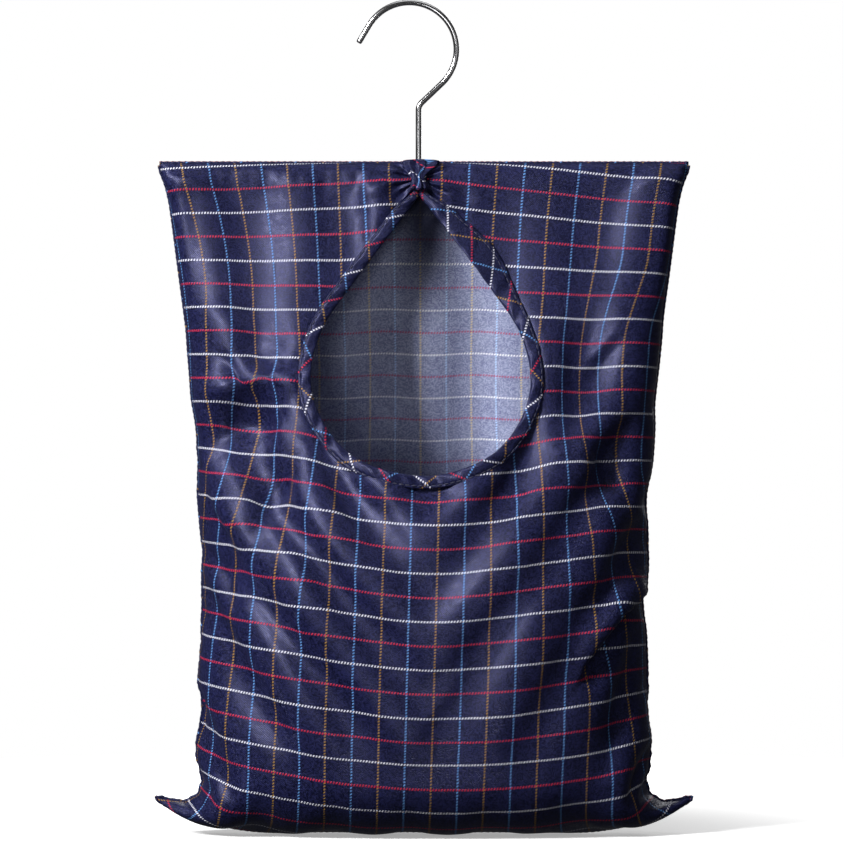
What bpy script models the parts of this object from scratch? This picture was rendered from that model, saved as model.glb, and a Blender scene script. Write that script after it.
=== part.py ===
"""Peg bag on a swivel hanger hook: a sewn cloth bag with a teardrop mouth in its front, kept straight
along the top by a wooden bar that turns on the stem of a bright wire hook.

Metres, +Z up, front to -Y. The origin is the point the bag hangs from: the inner side of the hook's
crown, straight above the stem. Heights in the dimensions below are counted up from the bag's base."""

from math import acos, atan2, ceil, cos, hypot, pi, radians, sin, sqrt

import bmesh
import bpy
from mathutils import Vector

# Hook
WIRE_D = 0.0032
HOOK_R = 0.02585
HOOK_CENTRE_X = -0.005
HOOK_CENTRE_HEIGHT = 0.4309
HOOK_END_ANGLE = radians(149)
HOOK_STEP = radians(8)
TIP_LENGTH = 0.0113
BEND_HEIGHT = 0.400
BEND_R = 0.006
HEAD_R = 0.0028
HEAD_THICKNESS = 0.0016
WASHER_R = 0.0040
WASHER_THICKNESS = 0.0007

# Bar
BAR_LENGTH = 0.272
BAR_DEPTH = 0.008
BAR_THICKNESS = 0.0105
BAR_EDGE_R = 0.0015
BAR_TOP = 0.3668
RUNNING_GAP = 0.0003
BORE_OVERRUN = 0.003  # how far a drilled hole's cutter runs past the piece

# Bag
BAG_HEIGHT = 0.3685
BAG_X = 0.003  # the bag sits a little to one side of the stem
CLOTH = 0.0008
SEAM_GAP = 0.0011  # from the seam plane to each panel's outer edge: the cloth's thickness and a gap
TOP_HALF_WIDTH = 0.1455
WAIST_HALF_WIDTH = 0.122
BASE_HALF_WIDTH = 0.1255
EAR_HALF_WIDTH = 0.149
EAR_RISE = 0.017
WAIST_HEIGHT = 0.125
TOP_HALF_DEPTH = 0.0048
BELLY_HALF_DEPTH = 0.057
BELLY_HEIGHT = 0.130
FOOT_HALF_DEPTH = 0.036
SHOULDER_HEIGHT = 0.354
BASE_R = 0.015
ROUND_POWER = 2.4  # of the level section at the belly
SQUARE_POWER = 28  # added to it where the bag lies flat over the bar
SQUARE_LOW = 0.250
SQUARE_HIGH = 0.354
SECTION_POWER = 0.75
WALL_SHARE = 0.62  # the share of a panel's rows that lies on its wall

# Seam allowances, turned in
SEAM_ALLOWANCE = 0.008
SEAM_INSET = 0.003
SIDE_SEAM_LOW = 0.036
BASE_SEAM_HALF_WIDTH = 0.100
BASE_SEAM_LOW = 0.0018
TOP_SEAM_START = 0.0030
TOP_SEAM_INSET = 0.014

# Mouth
MOUTH_X = 0.0014
MOUTH_HALF_WIDTH = 0.0605
MOUTH_HEIGHT = 0.248
MOUTH_BELOW = 0.051
MOUTH_ABOVE = 0.062
APEX_HEIGHT = 0.3505
BINDING_R = 0.0030
BINDING_END_HEIGHT = 0.343
THREAD_R = 0.0003
HOLE_TOP = 0.357
STITCHING_TOP = 0.355
GATHER_SIZE = (0.0080, 0.0048, 0.0055)
GATHER_Y = -0.0115
GATHER_HEIGHT = 0.3515
GATHER_FOLDS = 8
GATHER_FOLD_DEPTH = 0.08

HANG_HEIGHT = HOOK_CENTRE_HEIGHT + sqrt((HOOK_R - WIRE_D / 2) ** 2 - HOOK_CENTRE_X**2)
FRONT, BACK = -1, 1


def up(height):
    """The z of a height above the bag's base."""
    return height - HANG_HEIGHT


def smooth_step(t):
    t = min(max(t, 0.0), 1.0)
    return t * t * (3 - 2 * t)


def material(name, colour, roughness, metallic=0.0):
    made = bpy.data.materials.new(name)
    made.use_nodes = True
    shader = made.node_tree.nodes["Principled BSDF"]
    shader.inputs["Base Color"].default_value = (*colour, 1.0)
    shader.inputs["Roughness"].default_value = roughness
    shader.inputs["Metallic"].default_value = metallic
    made.diffuse_color = (*colour, 1.0)
    return made


def add_object(name, data, finish, collection):
    made = bpy.data.objects.new(name, data)
    made.data.materials.append(finish)
    collection.objects.link(made)
    return made


def tube(name, points, radius, finish, collection, closed=False, resolution=2):
    """A round wire, cord or thread along the points."""
    data = bpy.data.curves.new(name, "CURVE")
    data.dimensions = "3D"
    data.bevel_depth = radius
    data.bevel_resolution = resolution
    data.use_fill_caps = True
    spline = data.splines.new("POLY")
    spline.points.add(len(points) - 1)
    for place, point in zip(spline.points, points):
        place.co = (*point, 1.0)
    spline.use_cyclic_u = closed
    return add_object(name, data, finish, collection)


def mesh_of(curve):
    """The same object as a mesh, with a curve's loose caps welded on."""
    graph = bpy.context.evaluated_depsgraph_get()
    data = bpy.data.meshes.new_from_object(curve.evaluated_get(graph))
    edit = bmesh.new()
    edit.from_mesh(data)
    bmesh.ops.remove_doubles(edit, verts=edit.verts, dist=1e-6)
    edit.to_mesh(data)
    edit.free()
    name = curve.name
    collection = curve.users_collection[0]
    place = curve.matrix_world.copy()
    bpy.data.objects.remove(curve)
    made = bpy.data.objects.new(name, data)
    made.matrix_world = place
    collection.objects.link(made)
    return made


def round_piece(name, radius, low, high, finish, collection, sides=32):
    """A solid round piece on the stem's axis between two heights."""
    edit = bmesh.new()
    bmesh.ops.create_cone(
        edit, cap_ends=True, segments=sides, radius1=radius, radius2=radius, depth=high - low
    )
    data = bpy.data.meshes.new(name)
    edit.to_mesh(data)
    edit.free()
    made = add_object(name, data, finish, collection)
    made.location.z = up((low + high) / 2)
    return made


def boolean(target, operation, other):
    modifier = target.modifiers.new(operation.title(), "BOOLEAN")
    modifier.operation = operation
    modifier.object = other
    other.hide_render = True
    other.display_type = "WIRE"


def bevel(target, width, segments=2):
    modifier = target.modifiers.new("Bevel", "BEVEL")
    modifier.width = width
    modifier.segments = segments


# The bag's surface


def half_width(height):
    """Half the bag's width at a height, above the rounding of its base."""
    if height > WAIST_HEIGHT:
        rise = (height - WAIST_HEIGHT) / (BAG_HEIGHT - WAIST_HEIGHT)
        return WAIST_HALF_WIDTH + (TOP_HALF_WIDTH - WAIST_HALF_WIDTH) * rise**2
    drop = min((WAIST_HEIGHT - height) / (WAIST_HEIGHT - BASE_R), 1.0)
    return WAIST_HALF_WIDTH + (BASE_HALF_WIDTH - WAIST_HALF_WIDTH) * drop**2


def half_depth(height):
    """Half the bag's depth at the middle of its width, above the rounding of its base."""
    if height > BELLY_HEIGHT:
        drop = (SHOULDER_HEIGHT - height) / (SHOULDER_HEIGHT - BELLY_HEIGHT)
        return TOP_HALF_DEPTH + (BELLY_HALF_DEPTH - TOP_HALF_DEPTH) * smooth_step(drop)
    drop = (BELLY_HEIGHT - height) / BELLY_HEIGHT
    return BELLY_HALF_DEPTH + (FOOT_HALF_DEPTH - BELLY_HALF_DEPTH) * drop**2


def squareness(height):
    """How boxy a level cut through the bag is: round at the belly, square over the bar."""
    return ROUND_POWER + SQUARE_POWER * smooth_step((height - SQUARE_LOW) / (SQUARE_HIGH - SQUARE_LOW))


def across(u, depth, height):
    """How far the cloth stands from the seam plane at u, from -1 at one side seam to 1 at the other."""
    return SEAM_GAP + depth * (1 - abs(u) ** squareness(height)) ** SECTION_POWER


def front_y(x, height):
    """The front panel's outer face at x and a height."""
    u = min(max((x - BAG_X) / half_width(height), -1.0), 1.0)
    return -across(u, half_depth(height), height)


def panel_point(u, v, side):
    """The panel's outer face. v runs down the wall from 0 to 1, round the foot to 2 and in along
    the base to the bottom seam at 3."""
    if v <= 1:
        height = BAG_HEIGHT + (BASE_R - BAG_HEIGHT) * v
        depth = half_depth(height)
        width = half_width(height)
        ear = 0.0
    else:
        turn = min(v - 1, 1) * pi / 2
        height = BASE_R * (1 - sin(turn))
        edge = half_depth(BASE_R)
        inset = BASE_R * (1 - cos(turn)) + max(v - 2, 0) * (edge - BASE_R)
        depth = edge - inset
        ear = inset / edge
        width = BASE_HALF_WIDTH + (EAR_HALF_WIDTH - BASE_HALF_WIDTH) * ear**3
    lift = EAR_RISE * ear**2 * abs(u) ** 10
    return Vector((BAG_X + width * u, side * across(u, depth, height), up(height + lift)))


def spread(t):
    """Maps 0..1 to -1..1 with the rows crowded towards both ends."""
    return -cos(pi * t)


def rows_down(t):
    """Maps 0..1 to the panel's v: most of the rows on the wall, the rest under it."""
    if t < WALL_SHARE:
        return t / WALL_SHARE
    return 1 + 2 * (t - WALL_SHARE) / (1 - WALL_SHARE)


def surface(name, columns, rows, place, thickness, offset, finish, collection):
    """A sheet from a grid whose points place() puts, s and t running from 0 to 1, made solid."""
    edit = bmesh.new()
    bmesh.ops.create_grid(edit, x_segments=columns, y_segments=rows, size=1.0)
    for vertex in edit.verts:
        vertex.co = place((vertex.co.x + 1) / 2, (vertex.co.y + 1) / 2)
    data = bpy.data.meshes.new(name)
    edit.to_mesh(data)
    edit.free()
    data.shade_smooth()
    made = add_object(name, data, finish, collection)
    solid = made.modifiers.new("Thickness", "SOLIDIFY")
    solid.thickness = thickness
    solid.offset = offset
    return made


# The mouth


def mouth_outline(offset, low, steps=44):
    """The teardrop, grown by offset, as (x, height) from its left arm down round to its right one.
    The arms run straight to the apex and stop at the height low if that is below it."""
    a = MOUTH_HALF_WIDTH + offset
    below = MOUTH_BELOW + offset
    above = MOUTH_ABOVE + offset
    reach = APEX_HEIGHT - MOUTH_HEIGHT
    slope = sqrt(reach**2 - MOUTH_ABOVE**2) / MOUTH_HALF_WIDTH
    apex = APEX_HEIGHT + offset * sqrt(1 + slope**2)
    leave = acos(sqrt(1 - (above / (apex - MOUTH_HEIGHT)) ** 2))
    points = []
    for i in range(steps + 1):
        angle = leave - (pi + 2 * leave) * i / steps
        tall = above if sin(angle) > 0 else below
        points.append((a * cos(angle), MOUTH_HEIGHT + tall * sin(angle)))
    points = [(-x, height) for x, height in points]
    arm_x, arm_height = points[-1]
    end_x = arm_x * (apex - low) / (apex - arm_height)
    arm = [(end_x + (arm_x - end_x) * i / 3, low + (arm_height - low) * i / 3) for i in range(3)]
    left = [(-x, height) for x, height in arm]
    right = arm[::-1]
    return [(MOUTH_X * (APEX_HEIGHT - h) / reach + x, h) for x, h in left + points + right]


def on_front(outline, stand_off):
    """The outline laid on the front panel, standing off its outer face."""
    return [Vector((x, front_y(x, height) - stand_off, up(height))) for x, height in outline]


def mouth_cutter(collection, finish):
    """A prism through the front panel only, as wide as the mouth and its binding."""
    data = bpy.data.curves.new("mouth_cutter", "CURVE")
    data.dimensions = "2D"
    data.fill_mode = "BOTH"
    data.extrude = BELLY_HALF_DEPTH / 2 + CLOTH
    spline = data.splines.new("POLY")
    outline = mouth_outline(2 * BINDING_R + 3 * RUNNING_GAP, HOLE_TOP)
    spline.points.add(len(outline) - 1)
    for place, (x, height) in zip(spline.points, outline):
        place.co = (x, up(height), 0.0, 1.0)
    spline.use_cyclic_u = True
    made = add_object("mouth_cutter", data, finish, collection)
    made.rotation_euler.x = pi / 2
    made.location.y = -BELLY_HALF_DEPTH / 2 - 3 * CLOTH
    bpy.context.view_layer.update()
    made = mesh_of(made)
    made.hide_render = True
    made.display_type = "WIRE"
    return made


# The pieces


def hook_path():
    """The wire's centre line: up the stem, round the bend, out along the slant, round to the tip."""
    centre = Vector((HOOK_CENTRE_X, 0, up(HOOK_CENTRE_HEIGHT)))
    corner = Vector((0, 0, up(BEND_HEIGHT)))
    out = corner - centre
    start = atan2(out.z, out.x) + acos(HOOK_R / out.length)
    slant = start + pi / 2
    turn = pi / 2 - slant
    points = [Vector((0, 0, up(BAR_TOP - BAR_THICKNESS - WASHER_THICKNESS - 3 * RUNNING_GAP)))]
    cut_back = BEND_R * (1 - cos(turn)) / sin(turn)
    for i in range(6):
        angle = turn * i / 5
        across_bend = BEND_R * (1 - cos(angle))
        points.append(corner + Vector((across_bend, 0, BEND_R * sin(angle) - cut_back)))
    count = ceil((HOOK_END_ANGLE - start) / HOOK_STEP)
    for i in range(count + 1):
        angle = start + (HOOK_END_ANGLE - start) * i / count
        points.append(centre + HOOK_R * Vector((cos(angle), 0, sin(angle))))
    heading = Vector((-sin(HOOK_END_ANGLE), 0, cos(HOOK_END_ANGLE)))
    points.append(points[-1] + TIP_LENGTH * heading)
    return points


def make_hook(parts, cutters):
    chrome = material("chrome_wire", (0.62, 0.62, 0.63), 0.16, 1.0)
    steel = material("washer_steel", (0.50, 0.50, 0.51), 0.35, 1.0)
    wire = mesh_of(tube("hook_wire", hook_path(), WIRE_D / 2, chrome, parts, resolution=4))
    wire.data.shade_smooth()
    seat = BAR_TOP - BAR_THICKNESS - RUNNING_GAP
    head_top = seat - WASHER_THICKNESS - RUNNING_GAP
    head = round_piece("hook_head", HEAD_R, head_top - HEAD_THICKNESS, head_top, chrome, cutters)
    boolean(wire, "UNION", head)
    washer = round_piece("hook_washer", WASHER_R, seat - WASHER_THICKNESS, seat, steel, parts)
    bore_r = WIRE_D / 2 + RUNNING_GAP
    bore = round_piece("washer_bore", bore_r, seat - BORE_OVERRUN, seat + BORE_OVERRUN, steel, cutters)
    boolean(washer, "DIFFERENCE", bore)


def make_bar(parts, cutters):
    wood = material("bar_wood", (0.62, 0.44, 0.26), 0.6)
    edit = bmesh.new()
    bmesh.ops.create_cube(edit, size=1.0)
    bmesh.ops.scale(edit, vec=(BAR_LENGTH, BAR_DEPTH, BAR_THICKNESS), verts=edit.verts)
    data = bpy.data.meshes.new("hanger_bar")
    edit.to_mesh(data)
    edit.free()
    bar = add_object("hanger_bar", data, wood, parts)
    bar.location = (BAG_X, 0, up(BAR_TOP - BAR_THICKNESS / 2))
    bevel(bar, BAR_EDGE_R)
    bore_r = WIRE_D / 2 + RUNNING_GAP
    bore_low = BAR_TOP - BAR_THICKNESS - BORE_OVERRUN
    bore = round_piece("bar_bore", bore_r, bore_low, BAR_TOP + BORE_OVERRUN, wood, cutters)
    boolean(bar, "DIFFERENCE", bore)


def make_panels(parts, cutters, cloth):
    panels = {}
    for name, side in (("front_panel", FRONT), ("back_panel", BACK)):
        panels[side] = surface(
            name,
            26,
            30,
            lambda s, t, side=side: panel_point(-side * spread(s), rows_down(1 - t), side),
            CLOTH,
            -1.0,
            cloth,
            parts,
        )
    boolean(panels[FRONT], "DIFFERENCE", mouth_cutter(cutters, cloth))


def make_mouth(parts, cloth, thread):
    centre = mouth_outline(BINDING_R + RUNNING_GAP, BINDING_END_HEIGHT)
    tube("mouth_binding", on_front(centre, -CLOTH / 2), BINDING_R, cloth, parts)
    stitched = mouth_outline(2 * BINDING_R + 6 * RUNNING_GAP, STITCHING_TOP)
    stand_off = THREAD_R + 4 * RUNNING_GAP
    tube("mouth_stitching", on_front(stitched, stand_off), THREAD_R, thread, parts)


def make_gather(parts, cloth):
    """The knot of gathered cloth: a ball with radial folds, in front of the bar."""
    edit = bmesh.new()
    bmesh.ops.create_uvsphere(edit, u_segments=32, v_segments=14, radius=1.0)
    wide, deep, tall = GATHER_SIZE
    for vertex in edit.verts:
        x, y, z = vertex.co
        fold = 1 + GATHER_FOLD_DEPTH * cos(GATHER_FOLDS * atan2(y, x)) * hypot(x, y)
        vertex.co = (wide * x * fold, -deep * z, tall * y * fold)
    data = bpy.data.meshes.new("apex_gather")
    edit.to_mesh(data)
    edit.free()
    data.shade_smooth()
    gather = add_object("apex_gather", data, cloth, parts)
    gather.location = (0, GATHER_Y, up(GATHER_HEIGHT))


def make_seams(parts, cloth):
    """The turned-in seam allowances, as strips inside the bag."""
    strip = SEAM_ALLOWANCE
    side_high = BAR_TOP - BAR_THICKNESS - SEAM_INSET
    for name, hand in (("side_seam_left", -1), ("side_seam_right", 1)):

        def side_place(s, t, hand=hand):
            height = SIDE_SEAM_LOW + (side_high - SIDE_SEAM_LOW) * t
            reach = half_width(height) - SEAM_INSET - strip * s
            return Vector((BAG_X + hand * reach, 0, up(height)))

        surface(name, 1, 20, side_place, 2 * RUNNING_GAP, 0.0, cloth, parts)
    surface(
        "bottom_seam",
        16,
        1,
        lambda s, t: Vector(
            (BAG_X + BASE_SEAM_HALF_WIDTH * (2 * s - 1), 0, up(BASE_SEAM_LOW + strip * t))
        ),
        2 * RUNNING_GAP,
        0.0,
        cloth,
        parts,
    )
    inner = TOP_SEAM_START
    outer = TOP_HALF_WIDTH - TOP_SEAM_INSET
    for name, hand in (("top_seam_left", -1), ("top_seam_right", 1)):
        surface(
            name,
            12,
            2,
            lambda s, t, hand=hand: Vector(
                (
                    hand * (inner + (outer + hand * BAG_X - inner) * s),
                    (TOP_HALF_DEPTH + SEAM_GAP - CLOTH - 2 * RUNNING_GAP) * (2 * t - 1),
                    up(BAG_HEIGHT - CLOTH),
                )
            ),
            CLOTH,
            0.0,
            cloth,
            parts,
        )


def build():
    for old in list(bpy.data.objects):
        bpy.data.objects.remove(old)
    scene = bpy.context.scene.collection
    parts = bpy.data.collections.new("peg_bag")
    cutters = bpy.data.collections.new("cutters")
    scene.children.link(parts)
    scene.children.link(cutters)
    cloth = material("tartan_cloth", (0.022, 0.024, 0.075), 0.5)
    thread = material("navy_thread", (0.012, 0.012, 0.035), 0.6)
    make_hook(parts, cutters)
    make_bar(parts, cutters)
    make_panels(parts, cutters, cloth)
    make_mouth(parts, cloth, thread)
    make_gather(parts, cloth)
    make_seams(parts, cloth)


build()
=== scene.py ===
"""Peg bag on a swivel hanger hook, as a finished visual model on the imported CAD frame.

Metres, +Z up, front to -Y, origin at the inner crown of the hook. Heights are counted up from the
bag's base. Cloth places are (p, v): p across the cut cloth from its middle, v down it from the first
red line. The cloth is cut flat, sewn, hung and relaxed as a particle net, then made into the pieces."""

from math import acos, atan2, cos, pi, radians, sin, sqrt

import bmesh
import bpy
import numpy as np
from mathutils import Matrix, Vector


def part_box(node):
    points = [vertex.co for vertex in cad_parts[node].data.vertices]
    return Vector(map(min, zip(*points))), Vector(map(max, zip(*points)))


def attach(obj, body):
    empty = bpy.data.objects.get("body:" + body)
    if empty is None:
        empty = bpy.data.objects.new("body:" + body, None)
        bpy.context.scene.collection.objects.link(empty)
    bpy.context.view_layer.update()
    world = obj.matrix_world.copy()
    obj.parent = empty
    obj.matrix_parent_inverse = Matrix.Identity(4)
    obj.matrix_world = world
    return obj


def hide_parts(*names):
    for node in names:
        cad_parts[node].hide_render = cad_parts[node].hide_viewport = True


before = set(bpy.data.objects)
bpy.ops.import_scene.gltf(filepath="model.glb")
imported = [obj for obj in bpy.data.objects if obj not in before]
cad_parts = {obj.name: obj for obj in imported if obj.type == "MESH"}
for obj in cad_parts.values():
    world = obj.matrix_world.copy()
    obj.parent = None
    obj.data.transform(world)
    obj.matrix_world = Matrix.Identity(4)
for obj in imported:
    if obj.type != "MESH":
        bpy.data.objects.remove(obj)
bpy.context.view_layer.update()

# Hook and bar, as in the CAD
WIRE_D = 0.0032
HOOK_R = 0.02585
HOOK_CENTRE = (-0.005, 0.4309)
HOOK_END_ANGLE = radians(149)
TIP_LENGTH = 0.0113
BEND_HEIGHT = 0.400
BEND_R = 0.006
HOOK_FOOT = 0.0016  # how far the wire runs on below the bar
BAG_X = 0.003
BAG_HEIGHT = 0.3685
HANG_HEIGHT = HOOK_CENTRE[1] + sqrt((HOOK_R - WIRE_D / 2) ** 2 - HOOK_CENTRE[0] ** 2)
BAR_LOW, BAR_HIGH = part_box("hanger_bar")

# The cut cloth
CUT_WIDTH = 0.300
TOP_SEAM = 0.0109
TOP_SLOPE = 0.085
BOTTOM_SEAM = 0.378
COLUMNS = 90
ROWS = 118
SKEW = 0.028
ROW_LINES = 0.0134
COLUMN_LINES = 0.015
FIRST_GOLD = 0.0128
CLOTH = 0.0005
FIRST_LINE_HEIGHT = 0.3496  # where the first red line hangs
HANG_SHARE = 0.957  # the height lost for each metre down the cloth
OVER_BAR_RUN = 0.0068
OVER_BAR_DROP = 0.0045
SIDE_FOLD = 0.145  # the cloth past this p is the fold at the side seam
BACK_CLOSER = 1.11
BACK_WIDER = 0.97
BACK_ACROSS = 0.002
BACK_DOWN = 0.0054
# how far the cloth is drawn in towards the front's side edges, beside the mouth
LEFT_CROWDING = 0.0105
RIGHT_CROWDING = 0.0110

# The filled shape
WAIST_HALF = 0.122
WAIST_HEIGHT = 0.125
TOP_HALF = 0.1455
BASE_HALF = 0.1255
EAR_HALF = 0.149
EAR_RISE = 0.020
TOP_DEPTH = 0.0048
BELLY_DEPTH = 0.056
BELLY_HEIGHT = 0.130
FOOT_DEPTH = 0.043
SHOULDER_HEIGHT = 0.354
FOOT_R = 0.035
BACK_LEAN = 0.78  # the back falls away sooner below the bar
EDGE_GAP = 0.0008
SEAM_SHRINK = 0.036  # the sewing draws the cloth up along the side seams

# The mouth
MOUTH_X = 0.0014
MOUTH_HALF = 0.0605
MOUTH_HEIGHT = 0.248
MOUTH_BELOW = 0.051
MOUTH_ABOVE = 0.062
APEX_HEIGHT = 0.3505
BINDING_HALF = 0.0037
BINDING_THICK = 0.0017
BINDING_GAP = 0.0012  # from the binding's outer edge to where the front is followed
BINDING_REACH = 0.0070  # and to where its slope is read
GROOVE = 0.66  # where the stitching sits, as a share of the binding's half width

# The floor and the world
FLOOR_R = 0.62
FLOOR_DROP = 0.0006
GLOW_FROM_TO = (0.13, 0.36)  # the floor's glow grows between these distances from the middle
GLOW_LEAST = 0.34
SKY_STRENGTH = 0.05
WHITE = (1, 1, 1, 1)

FAR_AWAY = 1e9

# The net's relaxation
STEPS = 220
ROUNDS = 5
KEPT_SPEED = 0.90
FALL = 0.00001
CORNER_PULL = 0.32
BASE_PULL = 0.25
BAR_HEIGHT = 0.352
BAR_FACE = 0.0046
BASE_CLEAR = 0.0004
RIM_PULL = np.array([0.35, 0.08, 0.35])
EDGE_PULL = np.array([0.12, 0.0, 0.0])
# each family of links: how many rows down and columns round it reaches, and how stiff it is
LINKS = ((0, 1, 0.9), (1, 0, 0.9), (1, 1, 0.45), (1, -1, 0.45), (0, 2, 0.25), (2, 0, 0.25))
LONG_LINKS = ((0, 4, 0.14), (4, 0, 0.14), (0, 8, 0.07), (8, 0, 0.07))
CREASE_SEEDS = ((0.0008, 6), (0.0020, 12), (0.0030, 20))  # size, and columns across one


def up(height):
    """The z of a height above the bag's base."""
    return height - HANG_HEIGHT


def smooth(t):
    t = np.clip(t, 0.0, 1.0)
    return t * t * (3 - 2 * t)


def unit(a):
    return a / np.maximum(np.linalg.norm(a, axis=-1, keepdims=True), 1e-12)


def bell(t):
    return np.exp(-(t**2))


def run_of(path):
    """The length along a path at each of its points."""
    return np.concatenate([[0], np.cumsum(np.linalg.norm(np.diff(path, axis=0), axis=1))])


def at_runs(wanted, run, path):
    """A path's places at the wanted lengths along it."""
    return np.stack([np.interp(wanted, run, path[:, k]) for k in range(path.shape[1])], axis=1)


# ---- the filled bag's smooth shape


def half_width(height):
    rise = np.clip((height - WAIST_HEIGHT) / (BAG_HEIGHT - WAIST_HEIGHT), 0, 1)
    drop = np.clip((WAIST_HEIGHT - height) / 0.110, 0, 1)
    return WAIST_HALF + (TOP_HALF - WAIST_HALF) * rise**2 + (BASE_HALF - WAIST_HALF) * drop**2


def half_depth(height, lean=1.0):
    drop = np.clip((SHOULDER_HEIGHT - height) / (SHOULDER_HEIGHT - BELLY_HEIGHT), 0, 1)
    belly = smooth(drop**lean)
    above = TOP_DEPTH + (BELLY_DEPTH - TOP_DEPTH) * belly
    drop = np.clip((BELLY_HEIGHT - height) / BELLY_HEIGHT, 0, 1)
    return np.where(height > BELLY_HEIGHT, above, BELLY_DEPTH + (FOOT_DEPTH - BELLY_DEPTH) * drop**2)


def bulge(u, height):
    """How far the cloth stands from the seam plane at u, -1 to 1, as a share of the depth."""
    square = smooth((height - 0.25) / 0.104)
    return (1 - np.clip(np.abs(u), 0, 1) ** (2.9 + 26 * square)) ** (0.64 + 0.1 * square)


def section_table():
    """For a few heights, u against the share of the cloth's width, found from arc length."""
    heights = np.linspace(0, BAG_HEIGHT, 60)
    u = 1 - np.linspace(1, 0, 400) ** 2.2
    share = np.linspace(0, 1, 121)
    rows = []
    for h in heights:
        x, y = half_width(h) * u, half_depth(h) * bulge(u, h)
        arc = np.concatenate([[0], np.cumsum(np.hypot(np.diff(x), np.diff(y)))])
        rows.append(np.interp(share, arc / arc[-1], u))
    return heights, share, np.array(rows)


TABLE_HEIGHTS, TABLE_SHARES, TABLE_U = section_table()


def u_of(p, height):
    """Where the cloth at p from its middle lies round the level section at a height."""
    share = np.clip(np.abs(p) / (CUT_WIDTH / 2), 0, 1) * (len(TABLE_SHARES) - 1)
    row = np.clip(height / BAG_HEIGHT, 0, 1) * (len(TABLE_HEIGHTS) - 1)
    i = np.minimum(row.astype(int), len(TABLE_HEIGHTS) - 2)
    j = np.minimum(share.astype(int), len(TABLE_SHARES) - 2)
    a, b = row - i, share - j
    top = TABLE_U[i, j] * (1 - b) + TABLE_U[i, j + 1] * b
    low = TABLE_U[i + 1, j] * (1 - b) + TABLE_U[i + 1, j + 1] * b
    return np.sign(p) * (top * (1 - a) + low * a)


def level_of(p, v, front):
    """The height at which cloth at (p, v) hangs, as if the wall ran on straight down."""
    level = FIRST_LINE_HEIGHT - HANG_SHARE * v
    level += 0.010 * (1 - smooth(v / 0.06)) * np.clip(1 - np.abs(p) / 0.125, 0, 1)
    if front:
        narrow = np.exp(-((p / 0.052) ** 2) / 2)
        wide = np.clip(1 - (p / 0.135) ** 2, 0, 1)
        spread = smooth((v - 0.20) / 0.13)
        level -= 0.0130 * smooth((v - 0.03) / 0.12) * (narrow * (1 - spread) + wide * spread)
        level += 0.005 * np.exp(-(((v - 0.235) / 0.045) ** 2)) * smooth((p - 0.07) / 0.05)
    else:
        level -= 0.004 * smooth(v / 0.1) * np.clip(1 - (p / 0.135) ** 2, 0, 1)
    return level


def top_edge(p):
    return -(TOP_SEAM + TOP_SLOPE * np.abs(p))


def hung(p, v, side):
    """The smooth place of cloth (p, v) on the panel of that side, -1 front or 1 back."""
    front = side < 0
    level = level_of(p, v, front)
    wall = np.maximum(level, FOOT_R)
    u = u_of(p, np.minimum(wall, BAG_HEIGHT))
    deep = half_depth(wall, 1.0 if front else BACK_LEAN) * bulge(u, wall)
    x = half_width(wall) * u
    height = wall.copy()
    # over the bar
    past = v - top_edge(p)
    turn = np.clip(past / OVER_BAR_RUN, 0, 1) * pi / 2
    over_bar = past < OVER_BAR_RUN
    curved = BAG_HEIGHT - OVER_BAR_DROP * (1 - np.cos(turn))
    height = np.where(over_bar, curved, np.minimum(height, BAG_HEIGHT - OVER_BAR_DROP))
    deep = np.where(over_bar, deep * np.sin(turn), deep)
    # round the foot and in along the base
    run = FOOT_R - level
    whole = FOOT_R - level_of(p, BOTTOM_SEAM + 0 * p, front)
    radius = np.minimum(FOOT_R, 0.95 * deep + 1e-4)
    path = (FOOT_R - radius) + radius * pi / 2 + np.maximum(deep - radius, 0)
    share = np.clip(run / whole, 0, 1)
    s = share * path
    angle = np.clip((s - (FOOT_R - radius)) / radius, 0, pi / 2)
    straight = np.maximum(s - (FOOT_R - radius) - radius * pi / 2, 0)
    below = level < FOOT_R
    foot_height = np.where(s < FOOT_R - radius, FOOT_R - s, radius * (1 - np.sin(angle)))
    foot_deep = deep - radius * (1 - np.cos(angle)) - straight
    ear = share**3
    height = np.where(below, foot_height + EAR_RISE * share**2 * np.abs(u) ** 10, height)
    deep = np.where(below, np.maximum(foot_deep, 0), deep)
    x = np.where(below, x + (EAR_HALF - BASE_HALF) * ear * u * np.abs(u) ** 2.5, x)
    # the knot draws the cloth towards the stem
    x = x - BAG_X * np.exp(-((p / 0.06) ** 2)) * np.exp(-((v / 0.07) ** 2)) * front
    return np.stack([BAG_X + x, side * (EDGE_GAP + deep), height], axis=-1)


def mouth_loop(offset, steps=220):
    """The teardrop grown by offset, as (x, height) points from its apex down the left and round."""
    a, below, above = MOUTH_HALF + offset, MOUTH_BELOW + offset, MOUTH_ABOVE + offset
    slope = sqrt((APEX_HEIGHT - MOUTH_HEIGHT) ** 2 - MOUTH_ABOVE**2) / MOUTH_HALF
    apex = APEX_HEIGHT + offset * sqrt(1 + slope**2) - MOUTH_HEIGHT
    leave = acos(sqrt(1 - (above / apex) ** 2))
    angles = leave - (pi + 2 * leave) * np.linspace(0, 1, steps)
    x = -a * np.cos(angles)
    h = np.where(np.sin(angles) > 0, above, below) * np.sin(angles)
    t = np.linspace(0, 1, 40)[:-1]
    arm_x, arm_h = x[0] * t, apex + (h[0] - apex) * t
    x = np.concatenate([arm_x, x, -arm_x[::-1]])
    h = np.concatenate([arm_h, h, arm_h[::-1]])
    lean = MOUTH_X * (APEX_HEIGHT - MOUTH_HEIGHT - h) / (APEX_HEIGHT - MOUTH_HEIGHT)
    loop = np.stack([x + lean, MOUTH_HEIGHT + h], axis=1)
    run = run_of(loop)
    return at_runs(np.linspace(0, run[-1], 400), run, loop)


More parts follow.
